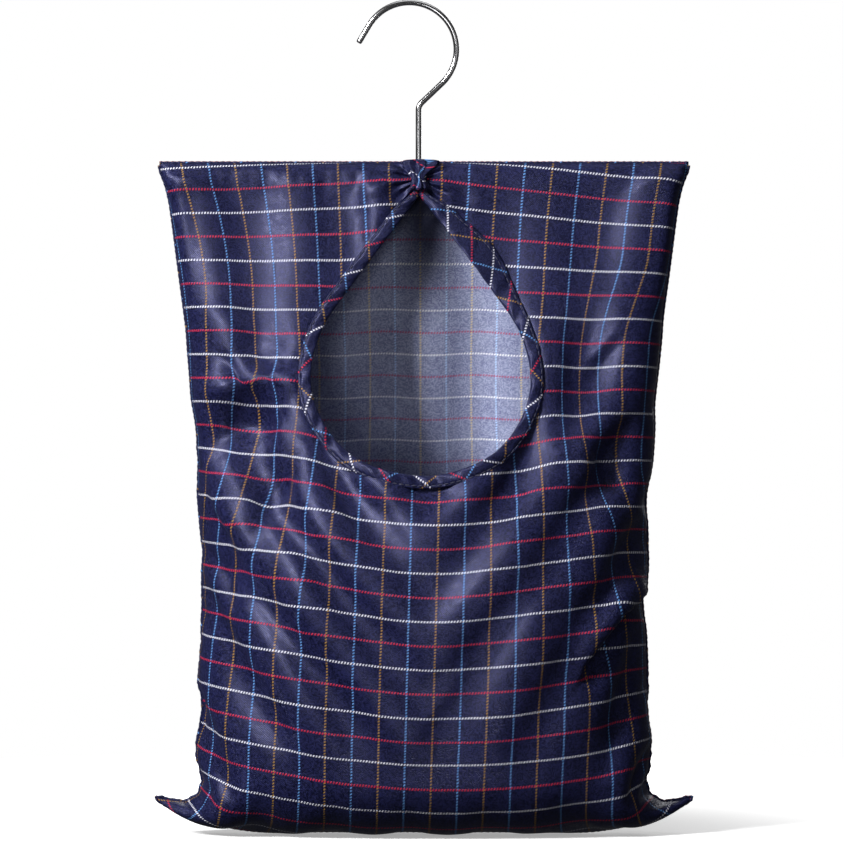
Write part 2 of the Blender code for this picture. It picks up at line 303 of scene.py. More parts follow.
def nearest_on(places, line, marks):
    """For each place, the distance to a line of (x, height) points, the nearest point of it, the
    mark there, going by those of the line's points, and 1 or -1 for the side the place is on."""
    best = np.full(places.shape[:-1], FAR_AWAY)
    near = np.zeros_like(places)
    mark, hand = np.zeros_like(best), np.zeros_like(best)
    for a, b, low, high in zip(line, line[1:], marks, marks[1:]):
        along = b - a
        off = places - a
        t = np.clip((off @ along) / (along @ along), 0, 1)
        point = a + t[..., None] * along
        far = np.linalg.norm(point - places, axis=-1)
        closer = far < best
        best = np.where(closer, far, best)
        near = np.where(closer[..., None], point, near)
        mark = np.where(closer, low + (high - low) * t, mark)
        hand = np.where(closer, np.sign(along[0] * off[..., 1] - along[1] * off[..., 0]), hand)
    return best, near, mark, hand


def signed_distance(points, loop):
    """The distance outside the loop (negative inside it), and the nearest place on it."""
    flat = points.reshape(-1, 2)
    best, near, _, _ = nearest_on(flat, loop, np.zeros(len(loop)))
    inside = np.zeros(len(flat), bool)
    for a, b in zip(loop, loop[1:]):
        crosses = (a[1] > flat[:, 1]) != (b[1] > flat[:, 1])
        with np.errstate(divide="ignore", invalid="ignore"):
            cut = a[0] + (flat[:, 1] - a[1]) * (b - a)[0] / (b - a)[1]
        inside ^= crosses & (flat[:, 0] < cut)
    best[inside] *= -1
    return best.reshape(points.shape[:-1]), near.reshape(points.shape)


# ---- the net, hung and relaxed


class Net:
    """Two panels as one ring of columns: 0 to COLUMNS the front, the rest the back; columns 0 and
    COLUMNS are the side seams, the last row the bottom seam, the first the top edge."""

    def __init__(self):
        ring = np.arange(2 * COLUMNS)
        self.side = np.where(ring <= COLUMNS, -1, 1)
        across = np.where(ring <= COLUMNS, ring, 2 * COLUMNS - ring) / COLUMNS - 0.5
        t = np.arange(ROWS + 1)[:, None] / ROWS
        self.p = np.repeat(CUT_WIDTH * across[None], ROWS + 1, axis=0)
        self.v = top_edge(self.p) * (1 - t) + BOTTOM_SEAM * t
        goal = np.where(
            (self.side < 0)[None, :, None], hung(self.p, self.v, -1), hung(self.p, self.v, 1)
        )
        seam = [0, COLUMNS]
        goal[:, seam, 1] = 0
        loop = mouth_loop(BINDING_HALF)
        gap, near = signed_distance(goal[..., [0, 2]], loop)
        front = (self.side < 0)[None]
        cell = CUT_WIDTH / COLUMNS
        self.rim = front & (np.abs(gap) < 0.5 * cell)
        self.live = ~(front & (gap <= -0.5 * cell))
        move = np.where(self.rim[..., None], near - goal[..., [0, 2]], 0)
        self.p = self.p + move[..., 0]
        self.v = self.v - move[..., 1] / HANG_SHARE
        goal[..., 0] += move[..., 0]
        goal[..., 2] += move[..., 1]
        self.goal = goal
        self.at = goal.copy()
        self.weight = self.live.astype(float)
        self.weight[:3] = 0
        self.links = []

    def add_links(self, rows, columns, stiff):
        """Links from each node to the one that many rows down and columns round."""
        count = 2 * COLUMNS
        i, c = np.meshgrid(np.arange(ROWS + 1 - rows), np.arange(count), indexing="ij")
        a = i * count + c
        b = (i + rows) * count + (c + columns) % count
        # a link across a seam is measured in the mirrored panel
        p, v = self.p.ravel(), self.v.ravel()
        pa, pb = p[a], p[b]
        pb = np.where((c < COLUMNS) & (c + columns > COLUMNS), CUT_WIDTH - pb, pb)
        pb = np.where(c + columns > count, -CUT_WIDTH - pb, pb)
        drawn_up = 1 - SEAM_SHRINK * smooth((np.abs(pa) - 0.095) / 0.045)
        rest = np.hypot(pb - pa, (v[b] - v[a]) * drawn_up)
        live = self.live.ravel()
        ok = live[a] & live[b]
        groups = (i // rows if rows else c // columns) % 2
        weight = self.weight.ravel()
        for g in (0, 1):
            pick = ok & (groups == g)
            ia, ib, length = a[pick], b[pick], rest[pick]
            wa, wb = weight[ia], weight[ib]
            total = np.maximum(wa + wb, 1e-9)
            self.links.append((ia, ib, length, stiff * wa / total, stiff * wb / total))

    def blurred(self, field, passes=3, reach=5):
        """A box blur of a field over the net, leaving out what isn't cloth."""
        mask = self.live.astype(float)[..., None]
        stack = np.concatenate([field * mask, mask], axis=-1)
        for _ in range(passes):
            for axis in (0, 1):
                pad = [(0, 0)] * 3
                pad[axis] = (reach + 1, reach)
                grown = np.pad(stack, pad, mode="wrap" if axis else "edge")
                total = np.cumsum(grown, axis=axis)
                size = stack.shape[axis]
                width = 2 * reach + 1
                high = np.take(total, range(width, width + size), axis=axis)
                low = np.take(total, range(size), axis=axis)
                stack = (high - low) / width
        return stack[..., :-1] / np.maximum(stack[..., -1:], 1e-6)

    def relax(self, steps, rounds):
        """Pulls the links back to their cut lengths, while the cloth keeps near the filled shape."""
        for family in LINKS + LONG_LINKS:
            self.add_links(*family)
        ring = 2 * COLUMNS
        mirror = (ring - np.arange(ring)) % ring
        x = self.at
        last = x.copy()
        front = np.broadcast_to((self.side < 0)[None], x.shape[:2]).copy()
        seam = np.zeros_like(front)
        seam[:, [0, COLUMNS]] = True
        free = self.weight[..., None]
        outward = np.where(front, -1.0, 1.0)
        corner = CORNER_PULL * smooth((np.abs(self.p) - 0.112) / 0.025)
        corner = (corner * smooth((self.v - 0.312) / 0.035))[..., None] * np.array([1.0, 0.3, 1.0])
        for step in range(steps):
            ease = 1 - step / steps
            drift = (x - last) * KEPT_SPEED
            last = x.copy()
            x += drift * free
            x[..., 2] -= FALL * self.weight
            flat = x.reshape(-1, 3)
            for _ in range(rounds):
                for ia, ib, length, ca, cb in self.links:
                    d = flat[ib] - flat[ia]
                    size = np.sqrt(np.einsum("ij,ij->i", d, d)) + 1e-9
                    d *= ((size - length) / size)[:, None]
                    flat[ia] += d * ca[:, None]
                    flat[ib] -= d * cb[:, None]
                base = 0.5 * (x[-1] + x[-1, mirror])
                x[-1] = base
                x[:, [0, COLUMNS], 1] *= 0.5
                y = x[..., 1] * outward
                y = np.where(seam, y, np.maximum(y, EDGE_GAP * 0.8))
                y[-1] = x[-1, :, 1] * outward[-1]
                near_bar = (x[..., 2] > BAR_HEIGHT) & ~seam
                y = np.where(near_bar & (self.weight > 0), np.maximum(y, BAR_FACE), y)
                x[..., 1] = y * outward
                x[..., 2] = np.maximum(x[..., 2], BASE_CLEAR)
            pull = self.blurred(self.goal - x)
            x += pull * free * (0.06 + 0.10 * ease)
            rim = (self.rim & (self.weight > 0))[..., None]
            toward = self.goal - x
            x += np.where(rim, toward * RIM_PULL, 0)
            x += corner * (self.goal - x)
            x[-2:, :, 2] += BASE_PULL * (self.goal[-2:, :, 2] - x[-2:, :, 2])
            edge = self.goal[:, [0, COLUMNS]] - x[:, [0, COLUMNS]]
            x[:, [0, COLUMNS]] += edge * EDGE_PULL * free[:, [0, COLUMNS]]


def noise_field(shape, cells, seed):
    """Smooth random numbers over the net, about 1 high, one cell being that many columns wide."""
    random = np.random.default_rng(seed)
    rows, columns = int(shape[0] / cells) + 4, max(int(shape[1] / cells), 3)
    grid = random.normal(size=(rows, columns))
    i = np.arange(shape[0])[:, None] / cells
    j = np.arange(shape[1])[None] / shape[1] * columns
    i0, j0 = np.floor(i).astype(int), np.floor(j).astype(int)
    a, b = smooth(i - i0), smooth(j - j0)
    j0, j1 = j0 % columns, (j0 + 1) % columns
    low = grid[i0, j0] * (1 - b) + grid[i0, j1] * b
    high = grid[i0 + 1, j0] * (1 - b) + grid[i0 + 1, j1] * b
    return low * (1 - a) + high * a


net = Net()
outward = np.where(net.side < 0, -1.0, 1.0)[None]
inner = smooth((net.v - top_edge(net.p)) / 0.05) * smooth((BOTTOM_SEAM - net.v) / 0.03)
seeds = sum(
    size * noise_field(net.p.shape, cells, 7 + k)
    for k, (size, cells) in enumerate(CREASE_SEEDS)
)
calm = np.where(net.side < 0, 1.0 - 0.68 * smooth((net.p[0] + 0.080) / 0.050), 0.05)[None]
net.at[..., 1] += outward * seeds * inner * calm * (np.abs(net.goal[..., 1]) > 0.002)
net.relax(STEPS, ROUNDS)

# ---- creases and pleats


def taper(share):
    """How strong a fold is along its line, fading to nothing at the ends."""
    return np.clip(np.sin(pi * np.clip(share, 0.02, 0.98)), 0, 1) ** 0.7


def fold(places, line, width, height):
    """The lift of a raised fold (or a dent, height below zero) along a line."""
    line = np.array(line, float)
    run = run_of(line)
    best, _, share, _ = nearest_on(places, line, run / run[-1])
    return height * taper(share) * np.exp(-((best / width) ** 1.6))


def tuck(places, line, overlap, height):
    """Cloth folded over itself along a line, the side to the right of its run on top: the shift of
    each place along (x, height), and its lift."""
    line = np.array(line, float)
    best, near, share, hand = nearest_on(places, line, np.linspace(0, 1, len(line)))
    strength = taper(0.12 + 0.86 * share)
    shift = unit(near - places) * (overlap * strength * bell(best / TUCK_REACH))[..., None]
    return shift, -hand * height * strength * bell(best / TUCK_WIDTH)


def normals_of(x):
    """Outward normals on the ring of columns."""
    across = np.roll(x, -1, axis=1) - np.roll(x, 1, axis=1)
    down = np.empty_like(x)
    down[1:-1] = x[2:] - x[:-2]
    down[0], down[-1] = x[1] - x[0], x[-1] - x[-2]
    return unit(np.cross(down, across))


def within(value, low, rise, high, fall):
    """1 between two values, fading to 0 over the rise below and the fall above."""
    return smooth((value - low) / rise) * smooth((high - value) / fall)


# the folds of the front: each has its (x, height) line, its width and its height
RIGHT_DENT = ((0.126, 0.128), (0.115, 0.122), (0.108, 0.112), (0.097, 0.093), (0.090, 0.080))
FOLDS = (
    (((-0.060, 0.246), (-0.088, 0.250), (-0.118, 0.240)), 0.0085, 0.0074),
    (((-0.076, 0.226), (-0.098, 0.224), (-0.117, 0.206)), 0.0110, -0.0092),
    (((-0.062, 0.214), (-0.080, 0.186), (-0.092, 0.150)), 0.0085, -0.0060),
    (((-0.056, 0.196), (-0.064, 0.150), (-0.062, 0.095)), 0.0150, 0.0034),
    (((-0.119, 0.196), (-0.098, 0.168), (-0.084, 0.128)), 0.0080, 0.0056),
    (((-0.120, 0.160), (-0.104, 0.144), (-0.098, 0.122)), 0.0060, -0.0052),
    (((-0.118, 0.290), (-0.096, 0.275), (-0.072, 0.272)), 0.0100, 0.0026),
    (((-0.122, 0.086), (-0.104, 0.062), (-0.098, 0.034)), 0.0080, 0.0026),
    (((0.098, 0.215), (0.106, 0.196), (0.113, 0.176)), 0.0050, -0.0030),
    (((0.082, 0.222), (0.094, 0.190), (0.100, 0.158)), 0.0080, 0.0028),
    (((0.075, 0.135), (0.090, 0.140), (0.112, 0.148)), 0.0070, 0.0024),
    (((0.124, 0.141), (0.109, 0.136), (0.098, 0.120), (0.084, 0.098)), 0.0075, 0.0064),
    (RIGHT_DENT, 0.0065, -0.0050),
    (((0.122, 0.060), (0.108, 0.044), (0.100, 0.022)), 0.0070, 0.0026),
    (((0.050, 0.180), (0.062, 0.130), (0.066, 0.080)), 0.0160, 0.0020),
)
RIGHT_TUCK = ((0.1235, 0.1340), (0.1140, 0.1300), (0.1065, 0.1220), (0.1010, 0.1110))
RIGHT_TUCK += ((0.0900, 0.0925), (0.0860, 0.0860))
TUCK_OVERLAP = 0.0034
TUCK_HEIGHT = 0.0026
TUCK_REACH = 0.013
TUCK_WIDTH = 0.006
KNOT = np.array([0.0, 0.3590])
PLEATS = 11
PLEAT_HEIGHT = 0.0025
PLEAT_REACH = 0.021
PLEATS_BELOW = 0.3672

goal_height = net.goal[..., 2]
aside = np.abs(net.p)
on_front = (net.side < 0)[None]
off_seams = aside < SIDE_FOLD

# the back and the part of the front below the mouth hang smoother than the rest
ironed = net.goal + net.blurred(net.at - net.goal, 2, 4)
share = 0.35 + 0.50 * smooth((goal_height - 0.16) / 0.06)
share = np.where((net.side > 0)[None] & off_seams & (net.v > 0.0), share, 0)
share = share * smooth((SIDE_FOLD - aside) / 0.02) * smooth(net.v / 0.03)
below_mouth = within(net.p, -0.055, 0.04, 0.115, 0.02)
below_mouth = 0.6 * below_mouth * within(goal_height, 0, 0.03, 0.192, 0.02)
share = np.where(on_front, below_mouth, share)
x = net.at + (ironed - net.at) * share[..., None]

# the front's upper corners, lower edge and lower left corner hang almost without flutes
upper = within(goal_height, 0.262, 0.040, 0.362, 0.012)
upper = 0.65 * upper * within(aside, 0.030, 0.02, SIDE_FOLD, 0.012)
foot = 0.75 * within(net.v, 0.285, 0.030, 0.374, 0.024)
foot = foot * smooth((0.118 - aside) / 0.025)
corner = 0.70 * within(net.v, 0.265, 0.030, 0.350, 0.030)
corner = corner * within(-net.p, 0.085, 0.020, 0.148, 0.012)
level = upper + np.maximum(foot, corner)
x = x + (net.goal - x) * (level * on_front)[..., None]

# the folds, the tuck and the pleats round the knot
places = net.goal[..., [0, 2]]
lift = np.zeros(net.p.shape)
for line, width, height in FOLDS:
    lift += fold(places, line, width, height)
tuck_shift, tuck_lift = tuck(places, RIGHT_TUCK, TUCK_OVERLAP, TUCK_HEIGHT)
lift = (lift + tuck_lift) * on_front
from_knot = places - KNOT
reach = np.linalg.norm(from_knot, axis=-1)
turn_about = np.arctan2(from_knot[..., 0], from_knot[..., 1])
pleat = np.cos(PLEATS * turn_about + 0.6) * bell(reach / PLEAT_REACH) * smooth((reach - 0.002) / 0.006)
lift += np.where(on_front & (goal_height < PLEATS_BELOW), PLEAT_HEIGHT * pleat + 0.0002, 0)
x = x + normals_of(x) * lift[..., None]
x[..., [0, 2]] += tuck_shift * (on_front * off_seams)[..., None]

# ---- meshes


def new_object(name, data, *materials):
    made = bpy.data.objects.new(name, data)
    bpy.context.scene.collection.objects.link(made)
    for material in materials:
        data.materials.append(material)
    return made


def mesh_from(name, points, faces, weave, *materials):
    """A smooth shaded mesh with a weave UV in metres, one place a vertex."""
    data = bpy.data.meshes.new(name)
    data.from_pydata([tuple(map(float, q)) for q in points], [], [tuple(map(int, f)) for f in faces])
    layer = data.uv_layers.new(name="Weave")
    index = np.empty(len(data.loops), np.int32)
    data.loops.foreach_get("vertex_index", index)
    layer.data.foreach_set("uv", np.asarray(weave, np.float32)[index].ravel())
    data.shade_smooth()
    data.update()
    return new_object(name, data, *materials)


def to_world(points):
    points = np.array(points, float)
    points[..., 2] -= HANG_HEIGHT
    return points


def ring_faces(rings, sides, first=0):
    """The faces of a tube of rings, closed at both ends, its vertices numbered from first."""
    faces = []
    for n in range(rings - 1):
        for k in range(sides):
            a, b = first + n * sides + k, first + n * sides + (k + 1) % sides
            faces.append((a, b, b + sides, a + sides))
    faces.append(tuple(first + k for k in range(sides)))
    faces.append(tuple(first + (rings - 1) * sides + k for k in range(sides)))
    return faces


def solid_from(name, points, faces, weave, material):
    """A closed mesh in the world, from points at heights above the base."""
    made = mesh_from(name, to_world(points), faces, weave, material)
    edit = bmesh.new()
    edit.from_mesh(made.data)
    bmesh.ops.recalc_face_normals(edit, faces=edit.faces)
    edit.to_mesh(made.data)
    edit.free()
    return made


def round_off(made):
    subdivision = made.modifiers.new("Smooth", "SUBSURF")
    subdivision.levels = subdivision.render_levels = 1
    return subdivision


def panel(name, side, outside, inside):
    """One panel of the relaxed net as a solid cloth mesh, and the flat area of its cloth."""
    if side < 0:
        columns = np.arange(COLUMNS + 1)
    else:
        columns = np.arange(2 * COLUMNS, COLUMNS - 1, -1)
    ring = columns % (2 * COLUMNS)
    points, live = x[:, ring], net.live[:, ring]
    p, v = net.p[:, ring], net.v[:, ring]
    faces = []
    area = 0.0
    flat = np.stack([p, v], axis=-1)
    for i in range(ROWS):
        for c in range(COLUMNS):
            corners = [(i, c), (i + 1, c), (i + 1, c + 1), (i, c + 1)]
            kept = [q for q in corners if live[q]]
            if len(kept) < 3:
                continue
            faces.append(kept)
            shape = np.array([flat[q] for q in kept])
            ahead = np.roll(shape, -1, axis=0)
            area += abs(float((shape[:, 0] * ahead[:, 1] - ahead[:, 0] * shape[:, 1]).sum())) / 2
    used = sorted({q for face in faces for q in face})
    number = {q: n for n, q in enumerate(used)}
    rows, cols = np.array(used).T
    if side < 0:
        left = LEFT_CROWDING * smooth((-p - 0.035) / 0.100) * within(v, -0.03, 0.09, 0.220, 0.085)
        right = RIGHT_CROWDING * smooth((p - 0.078) / 0.036) * within(v, 0.03, 0.055, 0.205, 0.055)
        weave = np.stack([p + right - left + SKEW * v - FIRST_GOLD, v - SKEW * p], axis=-1)
    else:
        weave = np.stack([BACK_WIDER * p + BACK_ACROSS, BACK_CLOSER * v - BACK_DOWN], axis=-1)
    loops = [[number[q] for q in face][::-side] for face in faces]
    made = mesh_from(name, to_world(points[rows, cols]), loops, weave[rows, cols], outside, inside)
    round_off(made).boundary_smooth = "ALL"
    solid = made.modifiers.new("Cloth", "SOLIDIFY")
    solid.thickness = CLOTH
    solid.offset = -1.0
    solid.material_offset = 1
    return made, area


class Loop:
    """The mouth's edge carried from the flat outline onto the relaxed front panel."""

    def __init__(self):
        self.base = mouth_loop(0.0)
        self.run = run_of(self.base)
        tangent = unit(np.gradient(self.base, axis=0))
        self.normal = np.stack([tangent[:, 1], -tangent[:, 0]], axis=1)
        front = (net.side < 0)[None] & net.live & (net.p**2 < 0.12**2)
        self.flat = net.goal[front][:, [0, 2]]
        self.real = x[front]

    def place(self, targets):
        """The relaxed front panel's points at target places (x, height)."""
        out = np.empty((len(targets), 3))
        for n, q in enumerate(targets):
            far = np.sum((self.flat - q) ** 2, axis=1)
            near = np.argpartition(far, 28)[:28]
            share = 1 / (far[near] + 9e-6) ** 2
            share /= share.sum()
            shift = self.real[near][:, [0, 2]] - self.flat[near]
            moved = q + share @ shift
            out[n] = (moved[0], share @ self.real[near][:, 1], moved[1])
        return out

    def eased(self, values, width=6):
        """The values smoothed along the loop, its ends held."""
        kernel = np.exp(-(np.arange(-3 * width, 3 * width + 1) / width) ** 2 / 2)
        kernel /= kernel.sum()
        grown = np.pad(values, ((3 * width,) * 2, (0, 0)), mode="reflect", reflect_type="odd")
        return np.stack([np.convolve(column, kernel, mode="valid") for column in grown.T], axis=1)


def wide_at(t):
    """Half the binding's width at a share of its run, and how far its facing is turned out there,
    high on the right arm."""
    facing = bell((t - 0.885) / 0.065)
    ends = 0.55 + 0.45 * smooth(t / 0.04) * smooth((1 - t) / 0.04)
    return BINDING_HALF * (1 + 1.15 * facing) * ends, facing


def make_binding(loop, cloth):
    """The rolled strip along the mouth, its ends led up into the knot, and the groove where its
    stitching sits."""
    run = loop.run
    half, facing = wide_at(run / run[-1])
    normal = loop.normal
    rim = loop.base + normal * (2 * half + BINDING_GAP)[:, None]
    edge = loop.place(rim)
    beyond = loop.place(loop.base + normal * (2 * half + BINDING_REACH)[:, None])
    slope = np.clip((edge[:, 1] - beyond[:, 1]) / (BINDING_REACH - BINDING_GAP), -0.7, 0.7)
    slope = loop.eased(slope[:, None], 12)[:, 0] - 0.30 * facing
    shift = loop.eased(edge - np.insert(rim, 1, 0, axis=1), 10)
    middle = np.empty_like(edge)
    middle[:, [0, 2]] = loop.base + normal * half[:, None] + shift[:, [0, 2]]
    middle[:, 1] = shift[:, 1] + slope * (half + BINDING_GAP) - 0.0004
    outwards = unit(np.stack([normal[:, 0], -slope, normal[:, 1]], axis=1))
    proud = unit(np.cross(unit(np.gradient(middle, axis=0)), outwards))
    proud *= -np.sign(proud[:, 1:2])

    lead, lead_step = 14, 0.0007
    rise = smooth(np.linspace(0, 1, lead, endpoint=False))[:, None]
    for end, hand in ((0, -1), (-1, 1)):
        top = np.array([0.0016 * hand, middle[end, 1] - 0.0008, KNOT[1] + 0.0015])
        extra = middle[end] + (top - middle[end]) * (1 - rise)
        frames = [np.repeat(a[[end]], lead, axis=0) for a in (outwards, proud)]
        added = [extra, *frames, half[end] * (0.7 + 0.3 * rise[:, 0]), np.zeros(lead)]
        kept = (middle, outwards, proud, half, facing, run)
        if end:
            added = [a[::-1] for a in added] + [run[-1] + np.arange(1, lead + 1) * lead_step]
            pairs = zip(kept, added)
        else:
            pairs = zip(added + [-np.arange(lead, 0, -1) * lead_step], kept)
        middle, outwards, proud, half, facing, run = (np.concatenate(pair) for pair in pairs)

    sides = 28
    angles = np.arange(sides) / sides * 2 * pi
    c, s = np.cos(angles), np.sin(angles)
    flat = np.sign(c) * np.abs(c) ** 0.75
    thick = np.sign(s) * np.abs(s) ** 0.9
    groove = 1 - 0.42 * bell((flat - GROOVE) / 0.12)
    random = np.random.default_rng(5)
    bump = np.zeros((len(run), sides))
    for _ in range(7):
        length = random.uniform(0.006, 0.016)
        phase = random.uniform(0, 2 * pi)
        twist = random.uniform(1, 3)
        bump += 0.10 * np.sin(2 * pi * run[:, None] / length + phase + twist * angles[None])
    points, weave = [], []
    for n in range(len(run)):
        depth = BINDING_THICK * (1 - 0.45 * facing[n]) * (1 + bump[n] * 0.9) * groove
        width = half[n] * flat * (1 + 0.05 * bump[n])
        points.append(middle[n] + outwards[n] * width[:, None] + proud[n] * (depth * thick)[:, None])
        across = np.where(s >= 0, flat, 2 - flat) * half[n] * 1.15
        weave.append(np.stack([run[n] + across, run[n] - across], axis=1) * 0.7071)
    points, weave = np.concatenate(points), np.concatenate(weave)
    made = solid_from("mouth_binding_roll", points, ring_faces(len(run), sides), weave, cloth)
    round_off(made)
    height = BINDING_THICK * 0.62 * (1 - 0.45 * facing)
    return made, middle + outwards * (half * GROOVE)[:, None] + proud * height[:, None], proud


def ring_points(place, radius, side, other, sides):
    """Points round a place, and how far round each one is."""
    turn = np.arange(sides) / sides * 2 * pi
    spokes = np.cos(turn)[:, None] * side + np.sin(turn)[:, None] * other
    return place + radius * spokes, radius * turn


def tube_mesh(name, path, radii, material, sides):
    """A tube of changing radius along a path, with the path's frame carried from end to end."""
    path = np.asarray(path, float)
    along = unit(np.gradient(path, axis=0))
    side = np.cross(along[0], (0.0, 1.0, 0.0))
    if np.linalg.norm(side) < 0.1:
        side = np.cross(along[0], (1.0, 0.0, 0.0))
    points, weave = [], []
    for place, heading, radius, run in zip(path, along, radii, run_of(path)):
        side = unit(side - heading * (side @ heading))
        ring, around = ring_points(place, radius, side, np.cross(heading, side), sides)
        points.extend(ring)
        weave.extend((run, far) for far in around)
    return solid_from(name, points, ring_faces(len(path), sides), weave, material)


def make_stitches(seat, proud, thread):
    """Separate lock stitches standing along the binding's groove, as one mesh."""
    length, gap, radius, clear = 0.0024, 0.0011, 0.00026, 0.006
    rings, sides = 7, 8
    run = run_of(seat)
    points, faces, weave = [], [], []
    t = np.linspace(0, 1, rings)
    place = clear
    while place + length < run[-1] - clear:
        at = at_runs(place + length * t, run, seat)
        out = at_runs(place + length * t, run, proud)
        at = at + out * (0.00012 + 0.00022 * np.sin(pi * t))[:, None]
        side = unit(np.cross(unit(np.gradient(at, axis=0)), out))
        faces += ring_faces(rings, sides, len(points))
        for n in range(rings):
            r = radius * (0.35 + 0.65 * sin(pi * min(max(t[n], 0.08), 0.92)) ** 0.4)
            ring, around = ring_points(at[n], r, side[n], unit(out[n]), sides)
            points.extend(ring)
            weave.extend((place + length * t[n], far) for far in around)
        place += length + gap
    return solid_from("mouth_stitches", points, faces, weave, thread)


def make_knot(cloth):
    """The binding's ends and the cloth above them, gathered and bound tight in front of the bar."""
    rows, sides = 46, 96
    low, high = 0.3528, 0.3704
    points, weave = [], []
    phases = np.random.default_rng(3).uniform(0, 2 * pi, 3)
    for n in range(rows):
        a = n / (rows - 1)
        height = low + (high - low) * a
        waist = (height - KNOT[1]) / 0.010
        width = 0.0036 + 0.0044 * smooth(waist) + 0.0012 * smooth(-2 * waist)
        depth = 0.0027 + 0.0006 * smooth(-2 * waist) - 0.0008 * smooth(waist)
        end = sqrt(max(1 - max((a - 0.94) / 0.06, (0.10 - a) / 0.10, 0) ** 2, 0.02))
        centre_y = -0.0085 + 0.0042 * smooth(waist * 1.1)
        for k in range(sides):
            f = 2 * pi * k / sides
            folds = 0.20 * cos(8 * f + 2.2 * a + phases[0])
            folds += 0.11 * cos(13 * f - 3.0 * a + phases[1])
            folds += 0.06 * cos(5 * f + 5 * a + phases[2])
            folds *= 0.55 + 0.75 * smooth(abs(waist))
            r = (1 + folds) * end
            lean = 0.0005 * sin(9 * a) + 0.0012 * smooth(waist) * cos(2 * f)
            points.append((width * cos(f) * r + lean, centre_y - depth * sin(f) * r, height))
            weave.append((0.0045 * f + 0.006 * a + 0.006, 0.030 * a + 0.005 * sin(2 * f)))
    return solid_from("mouth_knot", points, ring_faces(rows, sides), weave, cloth)


def make_hook(chrome):
    """The hook's wire as in the CAD, from below the bar to its tip, more finely divided."""
    centre = np.array([HOOK_CENTRE[0], 0, HOOK_CENTRE[1]])
    corner = np.array([0, 0, BEND_HEIGHT])
    out = corner - centre
    length = float(np.linalg.norm(out))
    start = atan2(out[2], out[0]) + acos(HOOK_R / length)
    turn = -start
    foot = BAR_LOW[2] + HANG_HEIGHT - HOOK_FOOT
    path = [np.array([0, 0, z]) for z in np.linspace(foot, BEND_HEIGHT - 0.004, 12)]
    cut_back = BEND_R * (1 - cos(turn)) / sin(turn)
    for i in range(13):
        angle = turn * i / 12
        path.append(corner + np.array([BEND_R * (1 - cos(angle)), 0, BEND_R * sin(angle) - cut_back]))
    for i in range(1, 97):
        angle = start + (HOOK_END_ANGLE - start) * i / 96
        path.append(centre + HOOK_R * np.array([cos(angle), 0, sin(angle)]))
    heading = np.array([-sin(HOOK_END_ANGLE), 0, cos(HOOK_END_ANGLE)])
    tip = path[-1]
    for t in (0.3, 0.6, 0.9, 0.965, 1.0):
        path.append(tip + TIP_LENGTH * t * heading)
    radii = np.full(len(path), WIRE_D / 2)
    radii[-2:] -= (0.0001, 0.0004)
    return tube_mesh("hook_bright_wire", path, radii, chrome, 32)


# ---- materials


def colour(text):
    """A colour from six sRGB hex digits."""
    parts = [int(text[k : k + 2], 16) / 255 for k in (0, 2, 4)]
    return tuple(c / 12.92 if c <= 0.04045 else ((c + 0.055) / 1.055) ** 2.4 for c in parts) + (1.0,)


